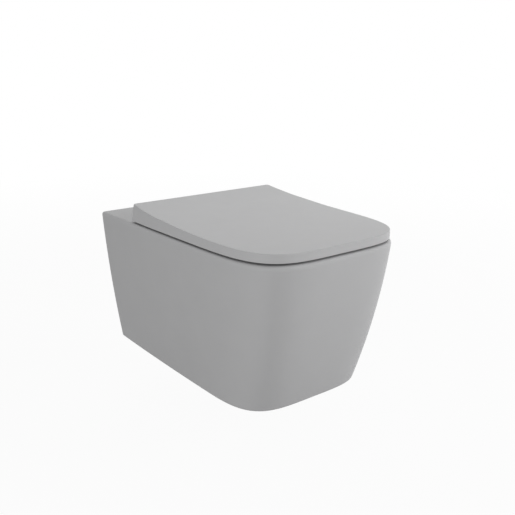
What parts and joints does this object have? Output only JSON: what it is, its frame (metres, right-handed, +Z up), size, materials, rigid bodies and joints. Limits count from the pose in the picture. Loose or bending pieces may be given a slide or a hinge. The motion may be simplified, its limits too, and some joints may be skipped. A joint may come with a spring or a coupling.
{
  "type": "wall hung toilet",
  "caption": "Wall hung toilet: skirted rounded-rectangle pan with bowl and trapway, soft-close seat ring and wedge-shaped wrap-over lid on quick-release hinges.",
  "frame": {"origin": "midway between the two wall studs, on the plane of the finished wall", "axes": "+X to the right seen from in front of the pan, +Y into the wall (the front faces -Y), +Z up"},
  "size_m": [0.36, 0.57, 0.3392],
  "materials": {
    "glaze": "matte grey glaze",
    "duroplast": "matte grey duroplast",
    "chrome": "polished",
    "damper_plastic": "moulded",
    "steel": "brushed",
    "button_plastic": "moulded",
    "rubber": "moulded",
    "nut_plastic": "moulded",
    "buffer_rubber": "soft translucent grey"
  },
  "bodies": {
    "pan": {"pan": "glaze", "hinge_posts": "steel", "hinge_rosettes": "chrome", "fixing_plugs": "rubber", "plug_nuts": "nut_plastic", "fixing_bushes": "nut_plastic", "clamp_screws": "steel", "clamp_washers": "rubber", "inlet_seal": "rubber"},
    "hinge_carrier": {"hinge_block_left": "chrome", "hinge_block_right": "chrome", "damper_left": "damper_plastic", "damper_right": "damper_plastic"},
    "seat": {"seat": "duroplast", "seat_buffers": "buffer_rubber", "hinge_shaft_left": "steel"},
    "lid": {"lid": "duroplast", "lid_buffers": "buffer_rubber", "hinge_shaft_right": "steel"},
    "left_button": {"release_button_left": "button_plastic"},
    "right_button": {"release_button_right": "button_plastic"}
  },
  "joints": [
    {"name": "lift_off", "type": "slide", "parent": "pan", "child": "hinge_carrier", "axis": [0, 0, 1], "range_m": [0, 0.03]},
    {"name": "seat_hinge", "type": "hinge", "parent": "hinge_carrier", "child": "seat", "pos_m": [0, -0.1325, 0.1], "axis": [-1, 0, 0], "range_deg": [0, 98]},
    {"name": "lid_hinge", "type": "hinge", "parent": "seat", "child": "lid", "pos_m": [0, -0.1325, 0.1], "axis": [1, 0, 0], "range_deg": [-102, 0]},
    {"name": "left_release", "type": "slide", "parent": "hinge_carrier", "child": "left_button", "axis": [0, 0, -1], "range_m": [0, 0.0016], "stiffness_N_per_m": 400, "springref_m": -0.0005},
    {"name": "right_release", "type": "slide", "parent": "hinge_carrier", "child": "right_button", "axis": [0, 0, -1], "range_m": [0, 0.0016], "stiffness_N_per_m": 400, "springref_m": -0.0005}
  ]
}
